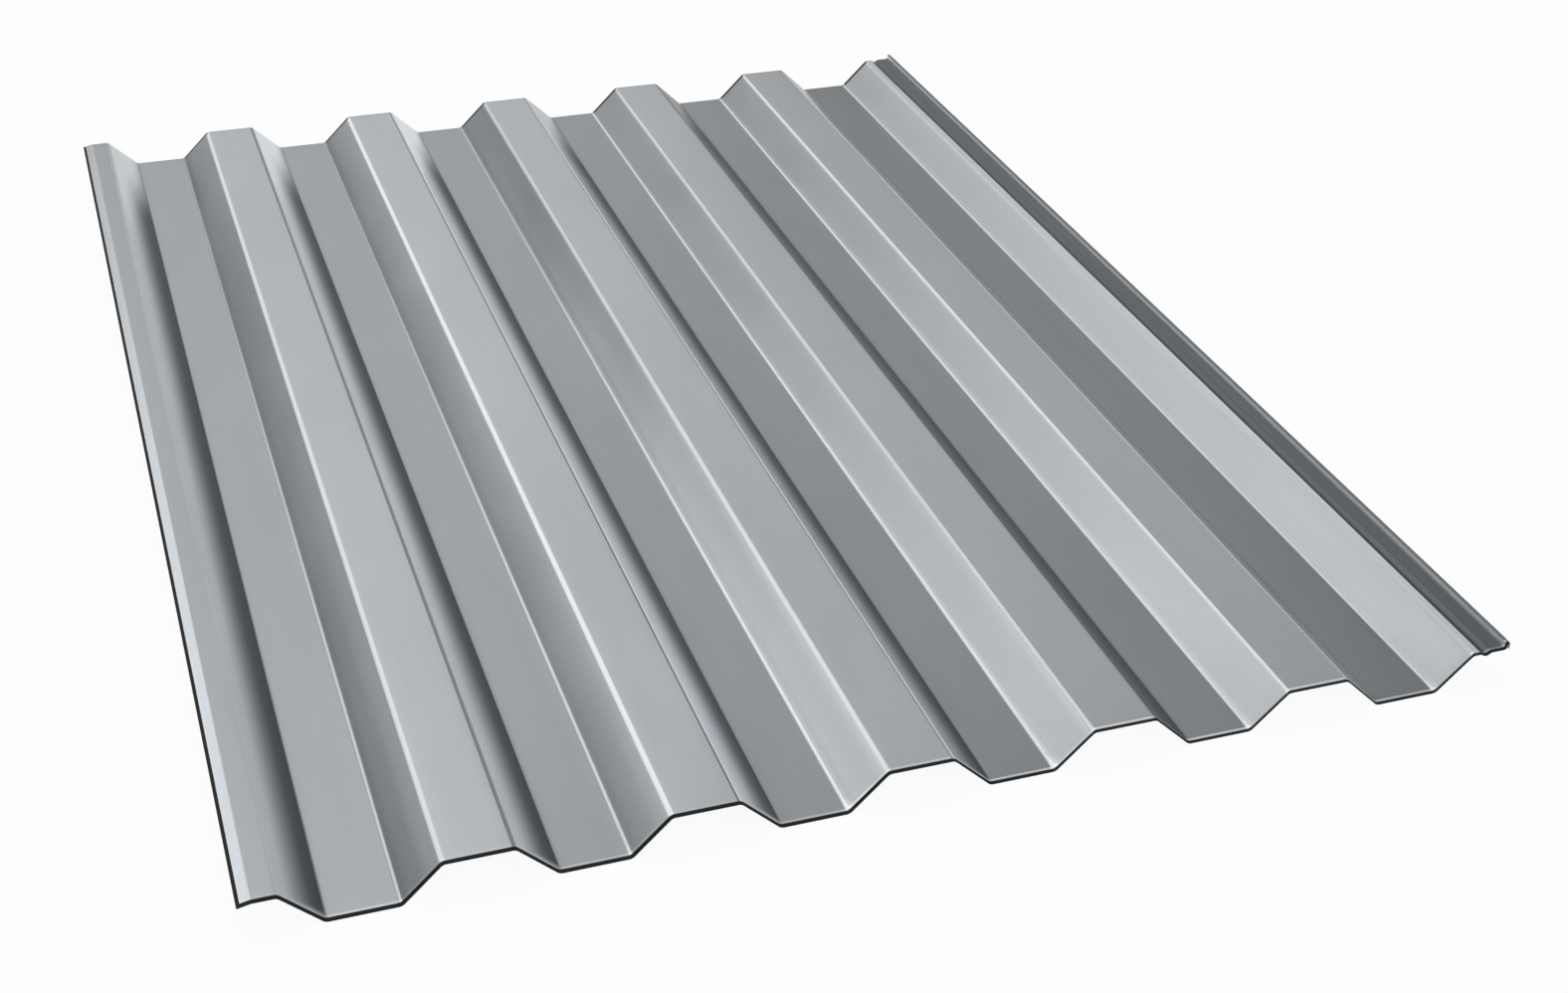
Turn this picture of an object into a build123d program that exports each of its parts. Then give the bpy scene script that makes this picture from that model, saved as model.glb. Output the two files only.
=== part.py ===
from build123d import *
from math import cos, radians, sin
import os

# A trapezoidal corrugated roofing sheet: one piece of roll-formed steel with ribs 32 mm high.
#
# The whole sheet is one folded strip of constant thickness. Its section is drawn once, as the line that the
# strip's lower face follows from the left edge to the right edge, then thickened upwards and drawn out
# along Y. Seen from the front, from left to right, that line has:
#   a narrow drip lip that is folded slightly down, and the flat of the left flange,
#   six valleys with sloping webs, and five full crests between them,
#   the right flange with its stiffening groove, and a standing lip that is hemmed outwards.

# The strip
sheet_length = 1500.0  # along the ribs
steel_thickness = 1.5  # the same everywhere

# The ribs, measured on the lower face between the sharp corners of the section
rib_pitch = 180.0  # from one valley to the next
valley_count = 6  # valleys across the sheet
crest_width = 56.0  # flat top of a rib
web_run = 33.0  # how far a sloping web reaches sideways
rib_depth = 32.0  # from the underside of a valley to the underside of a crest
bend_radius = 5.0  # inside radius of the rib bends

# The left edge, which ends in a drip lip
left_flat = 19.0  # flat of the left flange
drip_width = 11.0  # width of the lip, measured along its slope
drip_angle = 12.0  # degrees that the lip is folded down
drip_radius = 3.0  # inside radius of that fold

# The right edge, which ends in a standing lip with a hem
right_flat = 33.0  # flange from the last web to the standing lip
groove_offset = 7.0  # from the last web to the stiffening groove
groove_width = 11.0
groove_depth = 3.0
groove_radius = 2.5  # inside radius of the groove's three bends
lip_height = 5.0  # from the underside of the flange to the centre of the hem's fold
lip_radius = 1.5  # inside radius at the foot of the lip
hem_radius = 0.8  # inside radius of the hem's fold
hem_return = 4.5  # how far the hem comes down again

# Worked out from the sizes above
valley_width = rib_pitch - crest_width - 2 * web_run
ribs_width = valley_count * rib_pitch - crest_width
drip_reach = drip_width * cos(radians(drip_angle))
drip_drop = drip_width * sin(radians(drip_angle))
drip_overhang = steel_thickness * sin(radians(drip_angle))  # of the upper face's edge, past the lower face's
left_reach = drip_overhang + drip_reach + left_flat
hem_reach = 2 * hem_radius + steel_thickness
overall_width = left_reach + ribs_width + right_flat + hem_reach
first_web_x = left_reach - overall_width / 2  # puts the middle of the sheet at x = 0


def inside_above(radius):
    """Radius of the lower face where the bend turns upwards, so that the lower face is on its outside."""
    return radius + steel_thickness


def inside_below(radius):
    """Radius of the lower face where the bend turns downwards, so that the lower face is on its inside."""
    return radius


def left_edge():
    """Corners of the left edge, each with the radius of its bend: the lip's free end, then its fold."""
    fold_x = first_web_x - left_flat
    return [
        ((fold_x - drip_reach, rib_depth - drip_drop), None),
        ((fold_x, rib_depth), inside_below(drip_radius)),
    ]


def valley(number):
    """Corners of one valley with the webs beside it, counted from 0 at the left."""
    x = first_web_x + number * rib_pitch
    return [
        ((x, rib_depth), inside_below(bend_radius)),
        ((x + web_run, 0), inside_above(bend_radius)),
        ((x + web_run + valley_width, 0), inside_above(bend_radius)),
        ((x + 2 * web_run + valley_width, rib_depth), inside_below(bend_radius)),
    ]


def right_edge():
    """Corners of the stiffening groove and of the standing lip, up to where the hem's fold starts."""
    flange_x = first_web_x + ribs_width
    groove_x = flange_x + groove_offset
    lip_x = flange_x + right_flat
    return [
        ((groove_x, rib_depth), inside_below(groove_radius)),
        ((groove_x + groove_width / 2, rib_depth - groove_depth), inside_above(groove_radius)),
        ((groove_x + groove_width, rib_depth), inside_below(groove_radius)),
        ((lip_x, rib_depth), inside_above(lip_radius)),
        ((lip_x, rib_depth + lip_height), None),
    ]


def lower_line():
    """The line that the strip's lower face follows, from the left edge to the end of the hem."""
    corners = left_edge()
    for number in range(valley_count):
        corners += valley(number)
    corners += right_edge()
    points = [point for point, radius in corners]
    radii = [radius for point, radius in corners[1:-1]]
    ribs = FilletPolyline(*points, radius=radii)
    lip_top = Vector(*points[-1])
    hem_fold = CenterArc(lip_top + Vector(hem_radius, 0), hem_radius, 180, -180)
    hem_leg = Line(hem_fold @ 1, hem_fold @ 1 - Vector(0, hem_return))
    return Wire(ribs.edges() + hem_fold.edges() + hem_leg.edges())


def roofing_sheet():
    """The strip's section, drawn on the XZ plane and drawn out to both sides of it."""
    outline = lower_line().offset_2d(steel_thickness, side=Side.LEFT)
    section = Plane.XZ * make_face(outline)
    return extrude(section, sheet_length / 2, both=True)


os.makedirs("parts", exist_ok=True)
sheet = roofing_sheet()
export_step(sheet, "parts/roofing_sheet.step")
size = sheet.bounding_box().size
print(f"roofing_sheet: {size.X:.1f} x {size.Y:.1f} x {size.Z:.1f} mm, {sheet.volume / 1000:.1f} cm3")
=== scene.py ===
# %% [markdown]
# # A trapezoidal corrugated roofing sheet
# The object is one strip of coated steel that a row of rollers has folded into flat valleys and flat
# crests. Its looks come from three things: the crisp folds, a satin metallic coating that mirrors the lamps
# softly, and tones in that coating that follow the photograph's shading. So this lesson spends its effort on
# the bends, the coating and the lamps.
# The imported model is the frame: it gives the size and the place, and nothing here moves or resizes it.

from math import cos, pi, radians, sin, tan

import bmesh
import bpy
from mathutils import Matrix, Vector


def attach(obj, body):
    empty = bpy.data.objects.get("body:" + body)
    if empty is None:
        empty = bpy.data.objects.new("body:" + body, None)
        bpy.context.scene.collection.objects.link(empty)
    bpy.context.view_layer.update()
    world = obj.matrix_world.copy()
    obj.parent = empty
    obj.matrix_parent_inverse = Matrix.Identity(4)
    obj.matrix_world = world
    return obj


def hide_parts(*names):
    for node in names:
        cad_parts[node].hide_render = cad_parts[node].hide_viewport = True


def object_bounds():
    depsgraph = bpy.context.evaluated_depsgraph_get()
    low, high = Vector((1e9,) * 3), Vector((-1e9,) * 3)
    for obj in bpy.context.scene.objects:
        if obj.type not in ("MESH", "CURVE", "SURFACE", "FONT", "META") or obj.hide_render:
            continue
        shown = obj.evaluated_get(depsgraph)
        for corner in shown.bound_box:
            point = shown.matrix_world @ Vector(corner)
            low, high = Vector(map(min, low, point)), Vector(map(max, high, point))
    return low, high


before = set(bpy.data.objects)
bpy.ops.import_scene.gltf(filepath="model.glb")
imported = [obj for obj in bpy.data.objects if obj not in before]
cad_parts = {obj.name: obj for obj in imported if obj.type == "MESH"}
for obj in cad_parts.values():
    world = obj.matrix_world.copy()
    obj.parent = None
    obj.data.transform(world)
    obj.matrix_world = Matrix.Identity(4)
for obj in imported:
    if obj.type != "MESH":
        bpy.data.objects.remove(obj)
cad_low, cad_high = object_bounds()
MM = 0.001  # the sizes of the sheet are written in millimetres, as on a drawing
print("sheet in the frame:", [round(v / MM, 1) for v in cad_low], [round(v / MM, 1) for v in cad_high])

# %% [markdown]
# ## The section
# A roll former bends the steel and hardly stretches it, so the whole sheet is described by one line: the
# line that its lower face follows from edge to edge. Each corner of that line has a bend radius. The lower
# face is on the inside of a bend over a crest, and on the outside of a bend under a valley, where the radius
# is larger by the steel's thickness.
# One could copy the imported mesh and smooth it, but its bends are a few coarse facets. Drawing the line again
# from the same few sizes gives bends with as many facets as a highlight needs.

# %% Sizes of the ribs
STEEL = 1.5
PITCH = 180.0  # from one valley to the next
VALLEYS = 6
CREST = 56.0  # flat top of a rib
WEB_RUN = 33.0  # how far a sloping web reaches sideways
DEPTH = 32.0  # from the underside of a valley to the underside of a crest
BEND = 5.0  # inside radius of the rib bends
VALLEY = PITCH - CREST - 2 * WEB_RUN
print("width of a valley:", VALLEY)

# %% Sizes of the two side edges
LEFT_FLAT = 19.0
DRIP = 11.0  # width of the drip lip along its slope
DRIP_ANGLE = radians(12)
DRIP_BEND = 3.0

RIGHT_FLAT = 33.0
GROOVE_OFFSET = 7.0
GROOVE_WIDTH = 11.0
GROOVE_DEPTH = 3.0
GROOVE_BEND = 2.5
LIP_HEIGHT = 5.0
LIP_BEND = 1.5
HEM_BEND = 0.8
HEM_RETURN = 4.5

LEFT_END = cad_low.x / MM + STEEL * sin(DRIP_ANGLE)  # the upper face overhangs this edge of the lower one
FIRST_WEB = LEFT_END + DRIP * cos(DRIP_ANGLE) + LEFT_FLAT
FLANGE_X = FIRST_WEB + VALLEYS * PITCH - CREST
GROOVE_X = FLANGE_X + GROOVE_OFFSET
LIP_X = FLANGE_X + RIGHT_FLAT
print("first web, right flange and standing lip at x:", round(FIRST_WEB), round(FLANGE_X), round(LIP_X))


# %% The corners of the section
def under_crest(radius):
    """Radius of the lower face in a bend that turns downwards."""
    return radius


def under_valley(radius):
    """Radius of the lower face in a bend that turns upwards."""
    return radius + STEEL


def section_corners():
    """Corners of the lower face from left to right, each as x, z and the radius of its bend."""
    corners = [
        (LEFT_END, DEPTH - DRIP * sin(DRIP_ANGLE), 0),
        (FIRST_WEB - LEFT_FLAT, DEPTH, under_crest(DRIP_BEND)),
    ]
    for number in range(VALLEYS):
        x = FIRST_WEB + number * PITCH
        corners += [
            (x, DEPTH, under_crest(BEND)),
            (x + WEB_RUN, 0, under_valley(BEND)),
            (x + WEB_RUN + VALLEY, 0, under_valley(BEND)),
            (x + 2 * WEB_RUN + VALLEY, DEPTH, under_crest(BEND)),
        ]
    hem_top = DEPTH + LIP_HEIGHT + HEM_BEND
    corners += [
        (GROOVE_X, DEPTH, under_crest(GROOVE_BEND)),
        (GROOVE_X + GROOVE_WIDTH / 2, DEPTH - GROOVE_DEPTH, under_valley(GROOVE_BEND)),
        (GROOVE_X + GROOVE_WIDTH, DEPTH, under_crest(GROOVE_BEND)),
        (LIP_X, DEPTH, under_valley(LIP_BEND)),
        (LIP_X, hem_top, HEM_BEND),
        (LIP_X + 2 * HEM_BEND, hem_top, HEM_BEND),
        (LIP_X + 2 * HEM_BEND, DEPTH + LIP_HEIGHT - HEM_RETURN, 0),
    ]
    return corners


corners = section_corners()
print("corners in the section:", len(corners))

# %% [markdown]
# ## The folded sheet
# The line is laid down as a few vertices and extruded along the ribs, which gives one long face for each
# flat. Then every fold is bevelled: a bevel is exactly what a bend is, an arc that leaves both flats
# tangentially. From the sharp corner to the start of the arc it is the radius times the tangent of half the
# turn.

# %% Draw the section, extrude it and bevel its folds
BEND_SEGMENTS = 8
MERGE = 0.001  # vertices that are closer are one
near_y, far_y = cad_low.y, cad_high.y


def folded_strip():
    """The lower face of the whole sheet, with rounded folds, as an open mesh."""
    bm = bmesh.new()
    line = [bm.verts.new((x * MM, near_y, z * MM)) for x, z, _ in corners]
    edges = [bm.edges.new(pair) for pair in zip(line, line[1:])]
    grown = bmesh.ops.extrude_edge_only(bm, edges=edges)["geom"]
    far = [item for item in grown if isinstance(item, bmesh.types.BMVert)]
    bmesh.ops.translate(bm, verts=far, vec=(0, far_y - near_y, 0))
    folds = []
    for number in range(1, len(corners) - 1):
        before = Vector(corners[number][:2]) - Vector(corners[number - 1][:2])
        after = Vector(corners[number + 1][:2]) - Vector(corners[number][:2])
        reach = corners[number][2] * tan(before.angle(after) / 2)
        vertex = line[number]
        fold = next(e for e in vertex.link_edges if abs(e.other_vert(vertex).co.y - near_y) > MM)
        folds.append((fold, reach * MM))
    for fold, reach in folds:
        bmesh.ops.bevel(bm, geom=[fold], offset=reach, offset_type="OFFSET", segments=BEND_SEGMENTS,
                        profile=0.5, affect="EDGES", material=-1)
    bmesh.ops.remove_doubles(bm, verts=bm.verts, dist=MERGE * MM)
    bmesh.ops.recalc_face_normals(bm, faces=bm.faces)
    if sum(face.normal.z * face.calc_area() for face in bm.faces) > 0:
        bmesh.ops.reverse_faces(bm, faces=bm.faces)  # the lower face of the sheet faces downwards
    return bm


strip = folded_strip()
print("faces in the folded strip:", len(strip.faces))

# %% [markdown]
# ## The thickness and the sheared edges
# A shear cuts the strip to length and width. Before it cuts it bends the steel a little, so the upper face
# rolls over towards every sheared edge. Here it sinks by 1 mm, more than a sharp shear would leave.
# A bevel could round the edge, but it would be as wide on the bends as on the flats, and cross itself in the
# tight hem. So the strip is divided into rows that crowd towards the cuts, it gets its thickness, and then
# each vertex of the upper face sinks by an amount that depends on its distance to the cut.

# %% Divide the flats into columns
FLAT_COLUMNS = 10.0  # greatest width of a column on a flat

by_cuts = {}
for edge in strip.edges:
    if abs(edge.verts[0].co.y - edge.verts[1].co.y) < MM:
        by_cuts.setdefault(int(edge.calc_length() / MM / FLAT_COLUMNS), []).append(edge)
for cuts, edges in by_cuts.items():
    if cuts:
        bmesh.ops.subdivide_edges(strip, edges=edges, cuts=cuts)
print("faces in columns:", len(strip.faces))

# %% Cut rows that crowd towards both ends
EDGE_ROWS = (0.25, 0.5, 0.9, 1.5, 2.2, 2.8, 3.6, 5, 8, 12, 18, 26, 36, 50, 70, 95, 125, 160)  # from a cut
ROW = 40.0  # about as far apart as the rows are in the middle

length = (far_y - near_y) / MM
middle_rows = int((length - 2 * EDGE_ROWS[-1]) / ROW)
rows = list(EDGE_ROWS) + [length - distance for distance in EDGE_ROWS]
rows += [EDGE_ROWS[-1] + (length - 2 * EDGE_ROWS[-1]) * n / middle_rows for n in range(1, middle_rows)]
for row in sorted(rows):
    everything = strip.verts[:] + strip.edges[:] + strip.faces[:]
    bmesh.ops.bisect_plane(strip, geom=everything, plane_co=(0, near_y + row * MM, 0), plane_no=(0, 1, 0))
print("rows:", len(rows) + 1)

# %% Cut rows along the drip lip
DRIP_ROWS = (0.25, 0.5, 0.9, 1.5, 2.2, 3.2)

drip_edge = Vector((corners[0][0], 0, corners[0][1])) * MM
drip_slope = Vector((cos(DRIP_ANGLE), 0, sin(DRIP_ANGLE)))
for distance in DRIP_ROWS:
    lip = [f for f in strip.faces if f.calc_center_median().x < (corners[1][0] - 1) * MM]
    geometry = {item for f in lip for item in (f, *f.verts, *f.edges)}
    bmesh.ops.bisect_plane(strip, geom=list(geometry), plane_co=drip_edge + drip_slope * distance * MM,
                           plane_no=drip_slope)
print("faces of the divided strip:", len(strip.faces))

# %% Give it its thickness
lower = set(strip.verts)
bmesh.ops.solidify(strip, geom=strip.faces[:], thickness=STEEL * MM)
lower_faces = {f for f in strip.faces if all(v in lower for v in f.verts)}
upper_faces = {f for f in strip.faces if not any(v in lower for v in f.verts)}
strip.normal_update()
print("faces below, above and on the rim:", len(lower_faces), len(upper_faces),
      len(strip.faces) - len(lower_faces) - len(upper_faces))

# %% Roll the sheared edges over
ROLLS = (  # how far each roll reaches inwards from a cut edge, and how far it lowers the upper face there
    (14.0, 0.35),
    (3.2, 0.45),
    (0.6, 0.2),
)


def cut_distance(point):
    """Distance in millimetres from a point of the sheet to the nearest sheared edge."""
    along_slope = (point - drip_edge).dot(drip_slope)
    return max(0, min(point.y - near_y, far_y - point.y, along_slope)) / MM


def sink(distance):
    """How far the upper face lies under its flat at that distance from a sheared edge."""
    return sum(drop * max(0, 1 - distance / reach) ** 2 for reach, drop in ROLLS)


moves = {}
for v in strip.verts:
    if v not in lower:
        out = sum((f.normal for f in v.link_faces if f in upper_faces), Vector()).normalized()
        moves[v] = -out * sink(cut_distance(v.co)) * MM
for v, move in moves.items():
    v.co += move
print("deepest roll-over:", round(max(move.length for move in moves.values()) / MM, 2))

# %% Give the faces their finishes, and make the sheet an object
COAT, BACK, EDGE = 0, 1, 2
CUT_BAND = 0.9  # width of the band of the upper face that is finished as the cut
SHARP = radians(35)  # edges that turn more stay sharp

for face in strip.faces:
    face.smooth = True
    if face in lower_faces:
        face.material_index = BACK
    elif face in upper_faces and cut_distance(face.calc_center_median()) > CUT_BAND:
        face.material_index = COAT
    else:
        face.material_index = EDGE
for edge in strip.edges:
    edge.smooth = len(edge.link_faces) == 2 and edge.calc_face_angle() < SHARP

mesh = bpy.data.meshes.new("sheet")
strip.to_mesh(mesh)
strip.free()
sheet = bpy.data.objects.new("sheet", mesh)
bpy.context.scene.collection.objects.link(sheet)
lowest = [min(v.co[i] for v in mesh.vertices) / MM for i in range(3)]
highest = [max(v.co[i] for v in mesh.vertices) / MM for i in range(3)]
print("sheet made:", [round(v, 2) for v in lowest], [round(v, 2) for v in highest])

# %% [markdown]
# ## The coating
# The real coating is a thin, satin layer of metal: it mirrors broad shapes and blurs them, and it is nearly
# the same on every rib. The photograph is a drawn picture, though. It shades each rib in its own way, which
# no one set of lamps can do. To come near it, this coating carries tones of its own: a factor for each zone
# of the section, and in many zones one for each rib. They were set by comparing the greys of renders with
# the photograph, so they are shading and no property of the steel, and under other lamps the ribs don't look
# alike. For an even sheet, each zone gets one factor for all its ribs.
# A picture wrapped on the sheet could carry tones too, but it would stretch over the webs and blur up close.
# Formulas in the sheet's own coordinates stay sharp. They go into two node groups: one tells where on the
# sheet a point lies, the other makes the grain of rolling, which all finishes share.

# %% Helpers that add a node in one line
def link_value(tree, value, socket):
    """Feeds a socket from another socket, or sets it to a constant."""
    if isinstance(value, bpy.types.NodeSocket):
        tree.links.new(value, socket)
    else:
        socket.default_value = value


def math_node(tree, operation, *values):
    node = tree.nodes.new("ShaderNodeMath")
    node.operation = operation
    for value, socket in zip(values, node.inputs):
        link_value(tree, value, socket)
    return node.outputs[0]


def ramp(tree, value, low, high, to_low=0.0, to_high=1.0):
    """Runs smoothly from to_low to to_high as the value goes from low to high."""
    node = tree.nodes.new("ShaderNodeMapRange")
    node.interpolation_type = "SMOOTHSTEP"
    for number, v in enumerate((value, low, high, to_low, to_high)):
        link_value(tree, v, node.inputs[number])
    return node.outputs[0]


def group(name):
    """A new node group, with the place on the object that its formulas start from."""
    tree = bpy.data.node_groups.new(name, "ShaderNodeTree")
    tree.nodes.new("NodeGroupOutput")
    return tree, tree.nodes.new("ShaderNodeTexCoord").outputs["Object"]


def put_out(tree, name, value):
    """Adds a named output to a group and feeds it."""
    tree.interface.new_socket(name, in_out="OUTPUT", socket_type="NodeSocketFloat")
    ends = next(node for node in tree.nodes if node.bl_idname == "NodeGroupOutput")
    tree.links.new(value, ends.inputs[name])


# %% Where on the sheet a point lies
WEB_FOOT = VALLEY / 2  # from a valley's middle to the fold at the foot of its webs
WEB_TOP = WEB_FOOT + WEB_RUN  # and to the fold at their top
FIRST_PERIOD = FIRST_WEB + WEB_TOP - PITCH / 2  # where the first valley's share of the sheet starts
LEFT_PART, RIGHT_PART = -300, 350  # the tones change over between these places

profile, place = group("sheet_place")
axes = profile.nodes.new("ShaderNodeSeparateXYZ")
profile.links.new(place, axes.inputs[0])
x, y, z = (math_node(profile, "DIVIDE", axes.outputs[axis], MM) for axis in "XYZ")
turns = math_node(profile, "DIVIDE", math_node(profile, "SUBTRACT", x, FIRST_PERIOD), PITCH)
rib = math_node(profile, "FLOOR", turns)
from_start = math_node(profile, "MULTIPLY", math_node(profile, "FRACT", turns), PITCH)
across = math_node(profile, "SUBTRACT", from_start, PITCH / 2)  # from the middle of the nearest valley
side = ramp(profile, x, LEFT_PART, RIGHT_PART)
near_cut = math_node(profile, "SUBTRACT", y, near_y / MM)  # distance from the near end
far_cut = math_node(profile, "SUBTRACT", far_y / MM, y)
side_cut = math_node(profile, "SUBTRACT", x, cad_low.x / MM)
put_out(profile, "Side", side)
for number in range(VALLEYS):
    put_out(profile, f"Rib {number}", math_node(profile, "COMPARE", rib, number, 0.5))
print("outputs that tell the place:", len(profile.interface.items_tree))

# %% [markdown]
# ## Masks
# A mask is a number from 0 to 1 that says how much a point belongs to a zone. Painting vertex colours would
# do the same with as little work, but their edges could only lie where the mesh has vertices. A mask from
# coordinates fades over a chosen number of millimetres: a fold's line needs less than one, the painted shade
# at the foot of a left web fades over most of the web.

# %% Helpers for masks
def rise(value, low, high):
    return ramp(profile, value, low, high)


def fall(value, low, high):
    return ramp(profile, value, low, high, 1, 0)


def product(*values):
    result = values[0]
    for value in values[1:]:
        result = math_node(profile, "MULTIPLY", result, value)
    return result


def most(*values):
    result = values[0]
    for value in values[1:]:
        result = math_node(profile, "MAXIMUM", result, value)
    return result


def band(value, start, full, last, end):
    """A mask that rises from start to full, and falls again from last to end."""
    return product(rise(value, start, full), fall(value, last, end))


def at_fold(fold, start, full, last, end):
    """A band along a fold of every rib, given from that fold."""
    return band(across, fold + start, fold + full, fold + last, fold + end)


def from_left(left, right):
    """A number that changes from the left part of the sheet to the right one."""
    return ramp(profile, side, 0, 1, left, right)


def mask(name, *values):
    """Puts out the product of some masks under a name."""
    put_out(profile, name, product(*values))


# %% Masks for the flats and the webs
FOOT_FADES, FOOT_DARKEST = 0.82, 0.16  # how far up a left web the painted shade at its foot reaches, as shares of the web

right_web = band(across, WEB_FOOT - 1, WEB_FOOT + 3, WEB_TOP - 2, WEB_TOP + 1)
painted_foot_shade = at_fold(-WEB_FOOT, -FOOT_FADES * WEB_RUN, -FOOT_DARKEST * WEB_RUN, 0, 2)
mask("Valley", fall(z, 2, from_left(12, 6)))
mask("Valley start", fall(z, 2, 6), fall(across, -WEB_FOOT, 5))
mask("Crest", rise(z, 28, 33))
mask("First crest", rise(z, 28, 33), fall(x, -330, -230))
mask("Left web", band(across, -WEB_TOP - 0.5, -WEB_TOP + 1.5, -WEB_FOOT - 2, -WEB_FOOT + 1))
# painted shade, darker towards the foot of each left web
mask("Foot", rise(near_cut, 2, 12), rise(far_cut, 40, 200), painted_foot_shade)
mask("Right web", right_web)
mask("Web head", right_web, rise(z, 4, 32))
mask("Web near", right_web, fall(y, -450, 500))
print("outputs with the flats and webs:", len(profile.interface.items_tree))

# %% Masks for the bends
faded = product(from_left(0.8, 0), rise(y, -500, 500))  # the painted highlights on the low bends fade towards the far left
bend_last = ramp(profile, side, 0.3, 0.5, WEB_TOP + 0.8, WEB_TOP)
bend_end = ramp(profile, side, 0.3, 0.5, WEB_TOP + 2.7, WEB_TOP + 1.4)
# These masks carry painted highlights along the folds and painted shade in the creases; Bend changes only
# roughness and relief.
mask("Low bend", at_fold(WEB_FOOT, -2.3, -0.9, -0.1, 1), math_node(profile, "SUBTRACT", 1.0, faded))
mask("High bend", band(across, WEB_TOP - 3, WEB_TOP - 1.7, bend_last, bend_end))
mask("Bend", most(at_fold(WEB_FOOT, -3, -2.3, 0, 0.7), at_fold(WEB_TOP, -2.9, -2.2, 1.7, 2.4),
                  rise(x, LIP_X - 4, LIP_X - 3)))
mask("Web start", at_fold(WEB_FOOT, -0.1, 0.6, 1.2, 4))
mask("Top of last web", at_fold(WEB_TOP, -2.8, -2.1, -1.9, -0.1))
mask("Left bend", at_fold(-WEB_FOOT, -1.2, -0.2, 1.4, 2.2))
mask("Crease", at_fold(-WEB_TOP, -2.5, -2, -0.9, -0.5))
mask("Glint", at_fold(-WEB_TOP, -0.9, -0.4, 0.9, 1.5))
print("outputs with the bends:", len(profile.interface.items_tree))

# %% Masks for the two side edges
GROOVE_RISE = (0.45, 0.6, 0.9, 1.1)  # the groove's right side, as shares of its width

drip_fold = FIRST_WEB - LEFT_FLAT
drip = fall(x, drip_fold - 1, drip_fold + 1)
lip_foot = LIP_X - STEEL
# Their tones are painted light and shade: a bright drip lip, flange edge and lip wall, a dark channel, groove
# side and lip top.
mask("Drip", drip)
mask("Far drip", drip, rise(y, -800, 800))
mask("Lap", band(x, drip_fold, drip_fold + 1, FIRST_WEB - 3, FIRST_WEB + 2))
mask("First fold", band(x, FIRST_WEB - 1.9, FIRST_WEB - 0.8, FIRST_WEB - 0.2, FIRST_WEB + 0.9))
mask("Flange", band(x, FLANGE_X - 1.4, FLANGE_X + 2.8, GROOVE_X - 0.6, GROOVE_X + 0.4),
     ramp(profile, y, -400, 700, 1, 0.6))
mask("Flange edge", band(x, GROOVE_X - 2.4, GROOVE_X - 1.9, GROOVE_X - 0.7, GROOVE_X - 0.3))
mask("Channel", band(x, GROOVE_X - 0.6, GROOVE_X + 0.6, lip_foot - 0.4, lip_foot - 0.1))
mask("Groove rise", band(x, *(GROOVE_X + share * GROOVE_WIDTH for share in GROOVE_RISE)))
mask("Lip wall", band(z, DEPTH + 2.6, DEPTH + 3.4, DEPTH + 5.4, DEPTH + 6.4))
mask("Lip top", rise(z, DEPTH + 5.4, DEPTH + 6.4))
print("outputs with the side edges:", len(profile.interface.items_tree))

# %% Masks for the sheared ends
RIM_LEFT, RIM_RIGHT = 3.4, 2.5  # width of the dark rim along the near cut
RIM_ON_WEBS = 0.6  # share of it on the right webs of the right part
RIM_FAR, RIM_FAR_WEBS = 2.5, 6.5  # along the far cut, and there on the right webs
RIM_SIDE = 3.2

right_side_web = product(right_web, side)
web_share = ramp(profile, right_side_web, 0, 1, 1, RIM_ON_WEBS)
rim_width = product(from_left(RIM_LEFT, RIM_RIGHT), web_share)
far_width = ramp(profile, right_web, 0, 1, RIM_FAR, RIM_FAR_WEBS)
past_near = math_node(profile, "SUBTRACT", near_cut, rim_width)
past_far = math_node(profile, "SUBTRACT", far_cut, far_width)
side_rim = fall(side_cut, RIM_SIDE - 0.3, RIM_SIDE + 0.3)
mask("Dark rim", most(fall(past_near, -0.3, 0.5), fall(past_far, -0.5, 0.5), side_rim))
# a painted highlight beside the dark rim
mask("Bright line", fall(past_near, 2, 3), ramp(profile, z, 12, 30, 1, from_left(0.2, 0.8)),
     ramp(profile, right_side_web, 0, 1, 1, 0.15))
mask("Flare", at_fold(WEB_FOOT, -4, -1, 1, 6), fall(near_cut, 5, 18))
print("outputs of sheet_place:", len(profile.interface.items_tree))

# %% [markdown]
# ## The grain of rolling
# Rolled, coated steel usually has very fine scratches along the ribs and a faintly cloudy coat. Noise that
# is stretched along the ribs makes both. It is kept so weak that it is felt in the highlights, not seen.
# All three finishes have this grain, so it is built once, and each says how much of its relief are streaks.

# %% Streaks, clouds and fine scratches
STREAKS = (420.0, 5.0, 420.0)  # how many spots in a metre, along x, y and z
CLOUDS = (14.0, 5.0, 14.0)
SCRATCHES = (2200.0, 60.0, 2200.0)


def noise(tree, place, scale, detail):
    """Noise at the object's coordinates, which are multiplied by a scale for each axis first."""
    stretch = tree.nodes.new("ShaderNodeVectorMath")
    stretch.operation = "MULTIPLY"
    tree.links.new(place, stretch.inputs[0])
    stretch.inputs[1].default_value = scale
    node = tree.nodes.new("ShaderNodeTexNoise")
    tree.links.new(stretch.outputs[0], node.inputs["Vector"])
    node.inputs["Scale"].default_value = 1
    node.inputs["Detail"].default_value = detail
    return node.outputs["Fac"]


grain, place = group("rolling_grain")
grain.interface.new_socket("Streak share", in_out="INPUT", socket_type="NodeSocketFloat")
streak_share = grain.nodes.new("NodeGroupInput").outputs["Streak share"]
streaks = noise(grain, place, STREAKS, 2.0)
scratches = noise(grain, place, SCRATCHES, 1.0)
difference = math_node(grain, "SUBTRACT", streaks, scratches)
put_out(grain, "Streaks", streaks)
put_out(grain, "Clouds", noise(grain, place, CLOUDS, 3.0))
put_out(grain, "Relief", math_node(grain, "MULTIPLY_ADD", difference, streak_share, scratches))
print("sockets of rolling_grain:", [item.name for item in grain.interface.items_tree])

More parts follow.
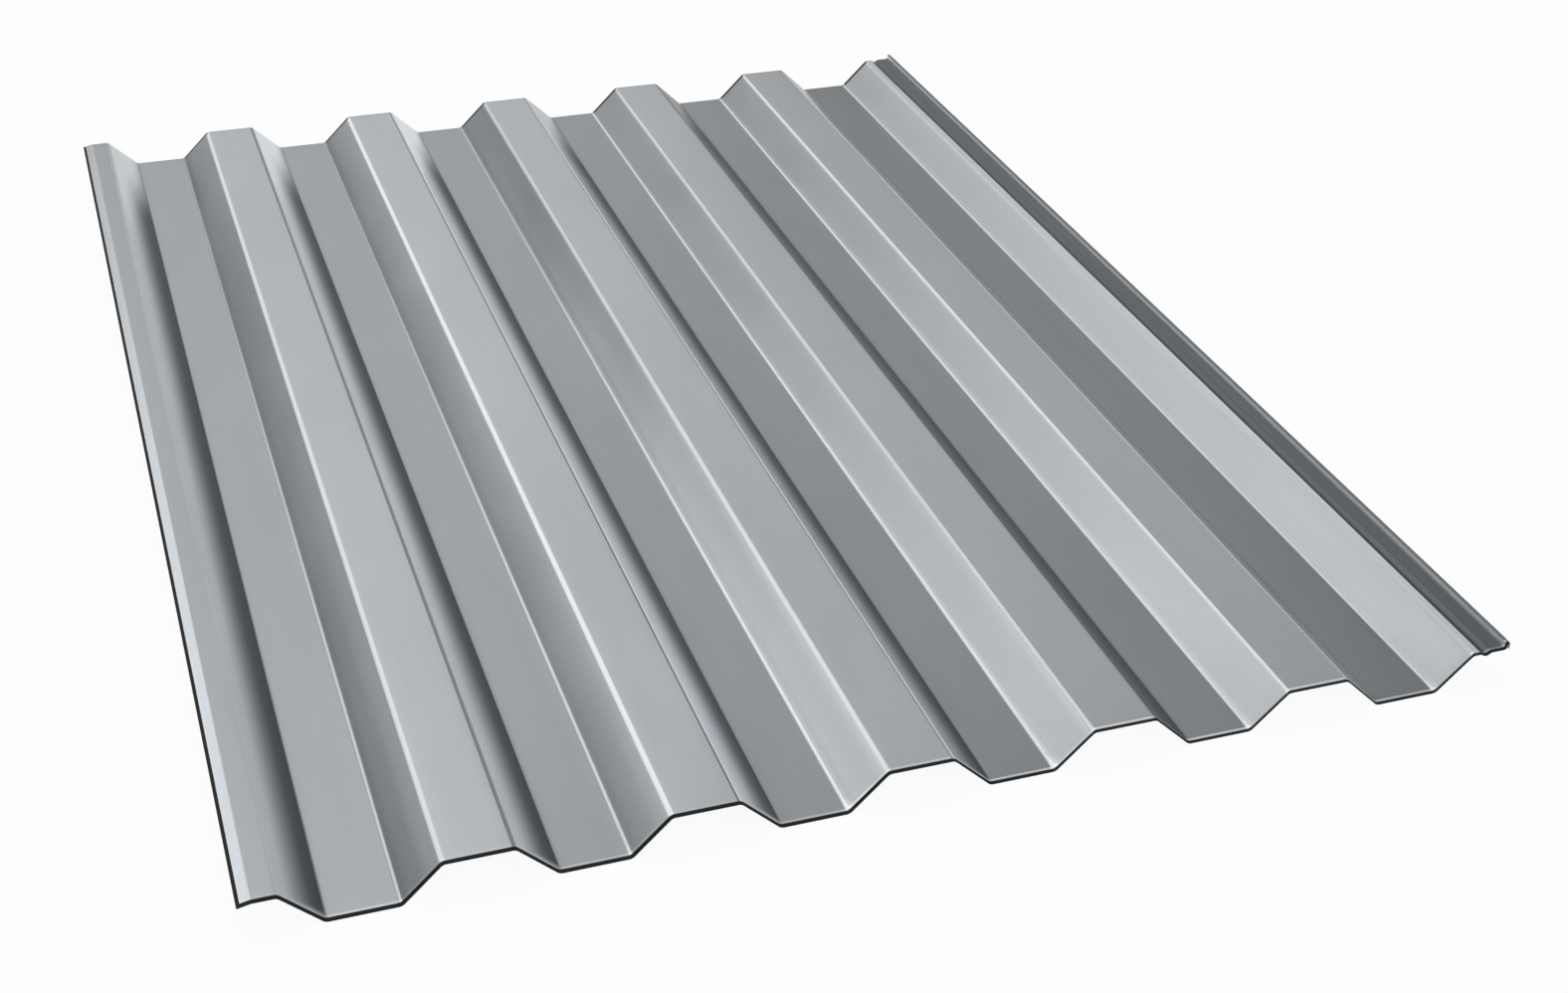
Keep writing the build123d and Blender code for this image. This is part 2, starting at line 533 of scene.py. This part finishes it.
# %% [markdown]
# ## The weather side
# One material covers the whole upper face. Its colour is the colour of the coating times a tone, and each
# zone raises or lowers the tone in turn. Separate materials for valleys, webs and crests would be simpler,
# but they would meet in hard lines where the real coating runs on.
# A left web rises to the left of its valley and a right web to the right, so the camera sees the right webs
# from the front and the left webs at a slant.

# %% Tones of the zones
COAT_COLOUR = (0.45, 0.475, 0.495)
BRIGHTEST = 0.97  # no part of the coating reflects more than this
# Painted light: the coat's tone falls a little from the left part to the right one.
LEFT_TO_RIGHT = (1.08, 1.0)  # the photograph is a little brighter on the left
# Painted light and shade: the factors lighten or darken the zones where the lamps alone don't give their
# greys.
TONES = {  # the tone of each zone: one number, two that run from the left to the right, or six by rib
    "Valley": (0.775, 0.775, 0.76, 0.727, 0.703, 0.62),  # painted shade on the flat floor of a valley
    "Valley start": (1.0, 1.0, 1.0, 1.0, 1.02, 1.06),  # the half of a valley beside its left web
    "Crest": (1.03, 1.065),
    "First crest": 0.94,  # and the left flange
    "Left web": (1.47, 1.64, 1.68, 1.15, 0.4, 1.12),  # at the left of a valley
    "Foot": (0.21, 0.2, 0.2, 0.28, 0.75, 1.18),  # painted shade on the lower part of a left web
    "Right web": (0.79, 0.84, 0.81, 0.93, 0.9, 0.95),  # at the right of a valley
    "Web head": (1.2, 1.28, 0.89, 0.97, 0.99, 1.03),  # the upper part of a right web
    "Web near": (1.0, 1.0, 1.5, 1.0, 0.95, 0.94),  # the near half of a right web
    "Low bend": (1.8, 1.95, 2.25, 2.35, 2.35, 2.4),  # painted highlight on the fold at the foot of a right web
    "High bend": (1.7, 1.75, 1.5, 1.55, 1.8, 1.09),  # painted highlight on the fold at its top
    "Web start": (1.0, 1.0, 1.2, 1.35, 1.35, 1.35),  # painted light just above the low bend
    "Top of last web": (1.0, 1.0, 1.0, 1.0, 1.0, 1.27),
    "Left bend": (1.0, 1.0, 1.0, 1.0, 1.0, 1.25),  # painted light on the fold at the foot of a left web
    "Crease": (1.0, 0.5, 0.42, 0.72, 0.9, 1.12),  # painted shade at the end of the crest, over a left web, on the last rib painted light
    "Glint": (1.0, 0.6, 1.7, 2.5, 0.5, 1.85),  # painted highlight on the line where the left web starts to fall, on the fifth rib painted shade
    "Drip": 1.5,  # painted highlight on the drip lip at the left edge
    "Far drip": 0.72,
    "Lap": 0.79,  # painted shade on the flat of the left flange
    "First fold": 1.17,  # painted light between the left flange and the first web
    "Flange": 1.62,  # painted light between the last web and the groove
    "Flange edge": 1.14,  # painted highlight on its edge along the groove
    "Channel": 0.33,  # painted shade from the groove to the standing lip
    "Groove rise": 0.75,  # painted shade on the right side of the groove
    # painted highlight on the wall of the standing lip, painted shade on its top
    "Lip wall": 2.8,
    "Lip top": 0.42,
    "Bright line": (1.4, 2.6),  # painted highlight beside the dark rim
    "Flare": (1.0, 1.1, 1.35, 1.35, 1.15, 1.2),  # painted highlight at the near end of a low bend
    "Dark rim": 0.02,  # along the cuts, as the photograph draws them
}
print("zones:", len(TONES))

# %% Helpers that the finishes share
CLOUD_RANGE = (0.25, 0.75)  # what the noises put out lies mostly in these ranges
STREAK_RANGE = (0.2, 0.8)
BUMP_DEPTH = 0.02
SPECULAR = 0.15


def add_group(tree, content):
    """Places a node group in a material."""
    node = tree.nodes.new("ShaderNodeGroup")
    node.node_tree = content
    return node


def add_grain(tree, streak_share):
    """Places the grain in a material, and gives its outputs."""
    node = add_group(tree, grain)
    node.inputs["Streak share"].default_value = streak_share
    return node.outputs


def add_bump(tree, shader, height, strength):
    """Roughens a finish by a fine relief."""
    bump = tree.nodes.new("ShaderNodeBump")
    bump.inputs["Strength"].default_value = strength
    bump.inputs["Distance"].default_value = BUMP_DEPTH * MM
    tree.links.new(height, bump.inputs["Height"])
    tree.links.new(bump.outputs[0], shader.inputs["Normal"])


# %% The tone at a point
CLOUD_TONES = (0.965, 1.035)  # the grain changes the tone by only a few hundredths
STREAK_TONES = (0.985, 1.015)
COAT_STREAKS = 0.7  # share of the long streaks in the relief

coat = bpy.data.materials.new("satin_coat")
coat.use_nodes = True
tree = coat.node_tree
where = add_group(tree, profile).outputs
texture = add_grain(tree, COAT_STREAKS)


def added(amounts):
    """What a zone adds to the tone at a point."""
    if isinstance(amounts, float):
        return amounts - 1
    if len(amounts) == 2:
        left, right = amounts
        return ramp(tree, where["Side"], 0, 1, left - 1, right - 1)
    total = 0.0
    for number, amount in enumerate(amounts):
        total = math_node(tree, "MULTIPLY_ADD", where[f"Rib {number}"], amount - 1, total)
    return total


tone = ramp(tree, texture["Clouds"], *CLOUD_RANGE, *CLOUD_TONES)
tone = math_node(tree, "MULTIPLY", tone, ramp(tree, texture["Streaks"], *STREAK_RANGE, *STREAK_TONES))
tone = math_node(tree, "MULTIPLY", tone, ramp(tree, where["Side"], 0, 1, *LEFT_TO_RIGHT))
for name, amounts in TONES.items():
    factor = math_node(tree, "MULTIPLY_ADD", where[name], added(amounts), 1.0)
    tone = math_node(tree, "MULTIPLY", tone, factor)
tone = math_node(tree, "MINIMUM", tone, BRIGHTEST / max(COAT_COLOUR))
print("nodes for the tone:", len(tree.nodes))

# %% Metal, gloss and relief of the coat
COAT_METALLIC = 0.9
COAT_ROUGHNESS = 0.38
CLOUD_ROUGHNESS = 0.02  # how much the clouds add or take
BEND_ROUGHNESS = 0.54  # duller on the bends, which softens their highlights
RIM_ROUGHNESS = 0.2  # what the dark rim adds
COAT_RELIEF = 0.15

shader = tree.nodes["Principled BSDF"]
toned = tree.nodes.new("ShaderNodeVectorMath")
toned.operation = "SCALE"
toned.inputs[0].default_value = COAT_COLOUR
tree.links.new(tone, toned.inputs["Scale"])
tree.links.new(toned.outputs[0], shader.inputs["Base Color"])
tree.links.new(ramp(tree, where["Dark rim"], 0, 1, COAT_METALLIC, 0), shader.inputs["Metallic"])
rough = ramp(tree, texture["Clouds"], *CLOUD_RANGE, COAT_ROUGHNESS - CLOUD_ROUGHNESS,
             COAT_ROUGHNESS + CLOUD_ROUGHNESS)
rough = math_node(tree, "MULTIPLY_ADD", where["Bend"], BEND_ROUGHNESS - COAT_ROUGHNESS, rough)
rough = math_node(tree, "MULTIPLY_ADD", where["Dark rim"], RIM_ROUGHNESS, rough)
tree.links.new(rough, shader.inputs["Roughness"])
shader.inputs["Specular IOR Level"].default_value = SPECULAR
off_the_bends = math_node(tree, "SUBTRACT", 1.0, where["Bend"])
add_bump(tree, shader, math_node(tree, "MULTIPLY", texture["Relief"], off_the_bends), COAT_RELIEF)
mesh.materials.append(coat)
print("nodes in the coat:", len(tree.nodes))

# %% [markdown]
# ## The back coat and the sheared edges
# The photograph doesn't show the underside, so its plain, duller coat is a guess. It draws the cut edges
# nearly black, where real cut steel is grey, and the sheet follows it. Both are plain beside the weather
# side, so one function makes either from a light and a dark colour that the grain mixes.

# %% Two grained finishes
MIX_RANGE = (0.35, 0.65)  # the mean of streaks and clouds lies mostly in this range
PLAIN_CLOUD_ROUGHNESS = 0.05
PLAIN_RELIEF = 0.25


def grained_material(name, light, dark, metallic, roughness, streak_share):
    """A finish that runs from a dark colour to a light one along the streaks and clouds of rolling."""
    material = bpy.data.materials.new(name)
    material.use_nodes = True
    tree = material.node_tree
    shader = tree.nodes["Principled BSDF"]
    texture = add_grain(tree, streak_share)
    half_clouds = math_node(tree, "MULTIPLY", texture["Clouds"], 0.5)
    share = math_node(tree, "MULTIPLY_ADD", texture["Streaks"], 0.5, half_clouds)
    mix = tree.nodes.new("ShaderNodeMix")
    mix.data_type = "RGBA"
    tree.links.new(ramp(tree, share, *MIX_RANGE), mix.inputs[0])
    colours = [socket for socket in mix.inputs if socket.type == "RGBA"]
    for socket, colour in zip(colours, (dark, light)):
        socket.default_value = (*colour, 1)
    mixed = next(socket for socket in mix.outputs if socket.type == "RGBA")
    tree.links.new(mixed, shader.inputs["Base Color"])
    rough = ramp(tree, texture["Clouds"], *CLOUD_RANGE, roughness - PLAIN_CLOUD_ROUGHNESS,
                 roughness + PLAIN_CLOUD_ROUGHNESS)
    tree.links.new(rough, shader.inputs["Roughness"])
    add_bump(tree, shader, texture["Relief"], PLAIN_RELIEF)
    shader.inputs["Metallic"].default_value = metallic
    shader.inputs["Specular IOR Level"].default_value = SPECULAR
    return material


back_coat = grained_material("back_coat", light=(0.45, 0.46, 0.47), dark=(0.39, 0.40, 0.41),
                             metallic=0.4, roughness=0.5, streak_share=0.7)
cut_steel = grained_material("sheared_edge", light=(0.014, 0.014, 0.015), dark=(0.007, 0.007, 0.008),
                             metallic=0.0, roughness=0.6, streak_share=0.3)
mesh.materials.append(back_coat)
mesh.materials.append(cut_steel)
print("materials of the sheet:", [material.name for material in mesh.materials])

# %% Put the sheet in the frame
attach(sheet, "root")
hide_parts("roofing_sheet")
print("faces of the finished sheet:", len(mesh.polygons))

# %% [markdown]
# ## The camera
# The photograph looks down on the near left corner of the sheet. A camera could be moved about until the
# picture looks right, but parallel ribs that run together give the lens away. A pinhole camera was fitted to
# the corners of both cut ends, and these are its place, its direction and its focal length.

# %% Place the camera
CAMERA_PLACE = Vector((-0.5911, -2.0845, 1.1663))
CAMERA_AZIMUTH = radians(19.27)  # to the right of +Y
CAMERA_DIP = radians(31.26)
CAMERA_ROLL = radians(0.99)
FOCAL_PIXELS = 2300.8
IMAGE_WIDTH = 1576
SENSOR_WIDTH = 36

level = Vector((sin(CAMERA_AZIMUTH), cos(CAMERA_AZIMUTH), 0))
forward = level * cos(CAMERA_DIP) - Vector((0, 0, sin(CAMERA_DIP)))
turned = forward.to_track_quat("-Z", "Y").to_matrix() @ Matrix.Rotation(CAMERA_ROLL, 3, "Z")
camera_data = bpy.data.cameras.new("camera")
camera_data.sensor_width = SENSOR_WIDTH
camera_data.lens = SENSOR_WIDTH * FOCAL_PIXELS / IMAGE_WIDTH
camera = bpy.data.objects.new("camera", camera_data)
camera.location = CAMERA_PLACE
camera.rotation_euler = turned.to_euler()
bpy.context.scene.collection.objects.link(camera)
bpy.context.scene.camera = camera
print("focal length in mm:", round(camera_data.lens, 1))

# %% [markdown]
# ## The floor
# The sheet lies on its valleys on a plain white ground that has no end in the picture. A white world alone
# would leave it floating, and a white floor that is only lit turns grey away from the lamps. So this floor
# mostly glows white for the camera and for the reflections in the metal, and takes the lamps' light like
# paper for the rest: that share keeps a faint shadow under the sheet.

# %% A wide floor just under the sheet
FLOOR_SIZE = 60.0
FLOOR_GAP = 0.3  # under the sheet, in millimetres, so that the two don't flicker into each other

bm = bmesh.new()
bmesh.ops.create_grid(bm, x_segments=1, y_segments=1, size=FLOOR_SIZE / 2)
bmesh.ops.translate(bm, verts=bm.verts, vec=(0, 0, -FLOOR_GAP * MM))
floor_mesh = bpy.data.meshes.new("floor")
bm.to_mesh(floor_mesh)
bm.free()
floor = bpy.data.objects.new("floor", floor_mesh)
bpy.context.scene.collection.objects.link(floor)
print("floor in metres:", [round(v, 1) for v in floor.dimensions])

# %% Paper that glows where it is seen
PAPER = 0.95
GLOW_SHARE = 0.94

paper = bpy.data.materials.new("floor")
paper.use_nodes = True
tree = paper.node_tree
tree.nodes.clear()
path = tree.nodes.new("ShaderNodeLightPath").outputs
seen = math_node(tree, "MAXIMUM", path["Is Camera Ray"], path["Is Glossy Ray"])
seen = math_node(tree, "MAXIMUM", seen, path["Is Transmission Ray"])
diffuse = tree.nodes.new("ShaderNodeBsdfDiffuse")
diffuse.inputs["Color"].default_value = (PAPER, PAPER, PAPER, 1)
glow = tree.nodes.new("ShaderNodeEmission")
mix = tree.nodes.new("ShaderNodeMixShader")
output = tree.nodes.new("ShaderNodeOutputMaterial")
tree.links.new(math_node(tree, "MULTIPLY", seen, GLOW_SHARE), mix.inputs[0])
tree.links.new(diffuse.outputs[0], mix.inputs[1])
tree.links.new(glow.outputs[0], mix.inputs[2])
tree.links.new(mix.outputs[0], output.inputs[0])
floor_mesh.materials.append(paper)
print("nodes in the paper:", len(tree.nodes))

# %% [markdown]
# ## The lamps
# Satin metal shows its surroundings, blurred: each flat of the sheet is as bright as the part of the sky that
# it mirrors. One big lamp would make every flat equally bright, and the folds would vanish. A picture of a
# studio could surround the sheet, but it hides which part of it does what. So the sky is filled with soft
# boxes, each given by the window that it fills, and one asks for each flat which window it mirrors. Most of
# their strengths come from a least-squares fit of the flats' greys to those of the photograph. A weak even
# light fills the gaps.

# %% A lamp in the sky
LAMP_DISTANCE = 8.0


def add_lamp(data, towards):
    """Hangs a lamp in that direction from the sheet, facing it."""
    lamp = bpy.data.objects.new(data.name, data)
    bpy.context.scene.collection.objects.link(lamp)
    lamp.location = towards * LAMP_DISTANCE
    lamp.rotation_euler = towards.to_track_quat("Z", "Y").to_euler()


def softbox(name, azimuths, elevations, radiance):
    """A flat lamp that fills a window of the sky, in degrees, with the azimuth from +Y towards +X."""
    turn, height = (radians(sum(window) / 2) for window in (azimuths, elevations))
    wide = radians(azimuths[1] - azimuths[0]) * cos(height)
    tall = radians(elevations[1] - elevations[0])
    data = bpy.data.lights.new(name, "AREA")
    data.shape = "RECTANGLE"
    data.size, data.size_y = (2 * LAMP_DISTANCE * tan(angle / 2) for angle in (wide, tall))
    data.energy = radiance * pi * data.size * data.size_y
    add_lamp(data, Vector((sin(turn) * cos(height), cos(turn) * cos(height), sin(height))))


# %% Fill the sky with soft boxes
SOFTBOXES = [  # name, from and to azimuth, from and to elevation, radiance
    ("key_high", (-20, 10), (54, 74), 1.63),
    ("key_middle", (-20, 10), (42, 54), 1.63),
    ("key_gap", (-20, 10), (32, 42), 0.58),
    ("key_low", (-20, -5), (22, 32), 1.42),
    ("web_light", (-50, -35), (22, 42), 3.5),
    ("web_far", (-35, -20), (22, 32), 1.77),
    ("back_middle", (-5, 10), (22, 32), 0.82),
    ("back_low", (-12, 18), (13, 22), 0.61),
    ("right_high", (10, 50), (32, 54), 0.31),
    ("right_low", (10, 50), (22, 32), 0.82),
    ("horizon_left", (-70, -35), (0, 6), 1.37),
    ("horizon_back", (10, 40), (0, 6), 0.91),
    ("horizon_right", (40, 70), (0, 6), 0.91),
    ("horizon_side", (70, 95), (0, 6), 0.91),
    ("front_right", (95, 150), (22, 48), 0.8),
    ("front", (150, 210), (22, 48), 1.2),
    ("front_left", (210, 265), (22, 48), 0.8),
]
for settings in SOFTBOXES:
    softbox(*settings)
print("soft boxes:", len(SOFTBOXES))

# %% A round lamp straight above, and the even light
OVERHEAD_ANGLE = radians(32)
OVERHEAD_RADIANCE = 2.5
WORLD_LEVEL = 0.25

overhead = bpy.data.lights.new("overhead", "AREA")
overhead.shape = "DISK"
overhead.size = 2 * LAMP_DISTANCE * tan(OVERHEAD_ANGLE / 2)
overhead.energy = OVERHEAD_RADIANCE * (pi * overhead.size / 2) ** 2
add_lamp(overhead, Vector((0, 0, 1)))

world = bpy.data.worlds.new("world")
bpy.context.scene.world = world
world.use_nodes = True
background = world.node_tree.nodes["Background"]
background.inputs["Color"].default_value = (WORLD_LEVEL, WORLD_LEVEL, WORLD_LEVEL, 1)
background.inputs["Strength"].default_value = 1
bpy.context.scene.view_settings.view_transform = "Standard"
print("lights:", len(bpy.data.lights))
